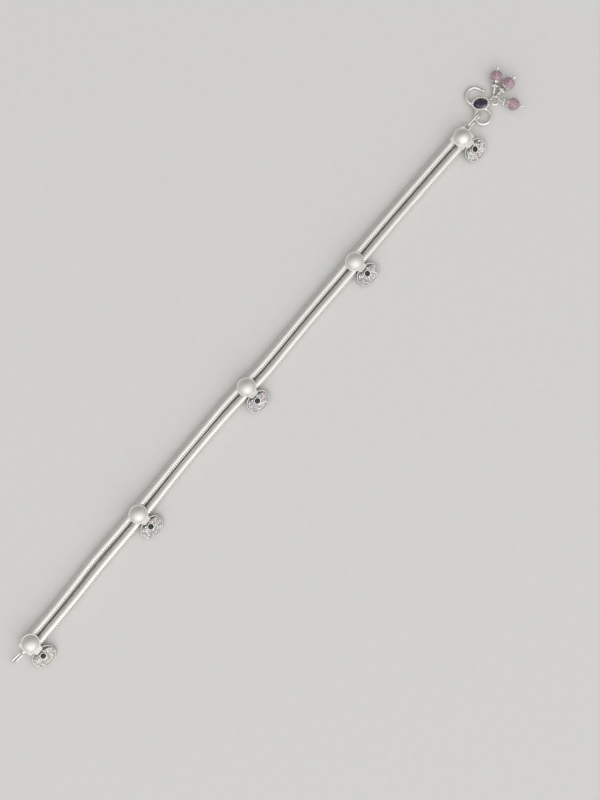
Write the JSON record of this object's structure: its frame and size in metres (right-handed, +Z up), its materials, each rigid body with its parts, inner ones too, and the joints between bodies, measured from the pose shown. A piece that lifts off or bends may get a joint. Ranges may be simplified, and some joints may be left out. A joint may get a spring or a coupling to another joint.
{
  "type": "payal anklet",
  "caption": "Silver payal anklet lying open: paired round snake chains through satin domes with paved oval charms, hook clasp with an oval stone, and bead drops.",
  "frame": {"origin": "centre of the underside of the middle slider, on the surface the anklet lies on", "axes": "+X along the chains from the end loop to the hook and drops, -Y towards the charms, +Z up"},
  "size_m": [0.2708, 0.0196, 0.0066],
  "materials": {
    "chain_silver": "polished",
    "satin_silver": "satin",
    "polished_silver": "polished",
    "paved_silver": "paved with small grains",
    "black_stone": "polished",
    "violet_stone": "faceted and polished",
    "mauve_bead": "faceted and polished"
  },
  "bodies": {
    "root": {"chain_plain_side": "chain_silver", "chain_charm_side": "chain_silver", "slider_dome_1": "satin_silver", "slider_dome_2": "satin_silver", "slider_dome_3": "satin_silver", "end_cap_loop": "satin_silver", "end_cap_bail": "satin_silver", "charm_1": "paved_silver", "charm_stone_1": "black_stone", "charm_2": "paved_silver", "charm_stone_2": "black_stone", "charm_3": "paved_silver", "charm_stone_3": "black_stone", "charm_4": "paved_silver", "charm_stone_4": "black_stone", "charm_5": "paved_silver", "charm_stone_5": "black_stone", "oval_link": "polished_silver", "s_hook": "polished_silver", "split_ring": "polished_silver", "hook_stone": "violet_stone", "drop_pin_a": "polished_silver", "drop_flower_a": "polished_silver", "drop_cap_a": "polished_silver", "drop_bead_a": "mauve_bead", "drop_pin_b": "polished_silver", "drop_flower_b": "polished_silver", "drop_cap_b": "polished_silver", "drop_bead_b": "mauve_bead", "drop_pin_c": "polished_silver", "drop_flower_c": "polished_silver", "drop_cap_c": "polished_silver", "drop_bead_c": "mauve_bead"}
  },
  "joints": []
}
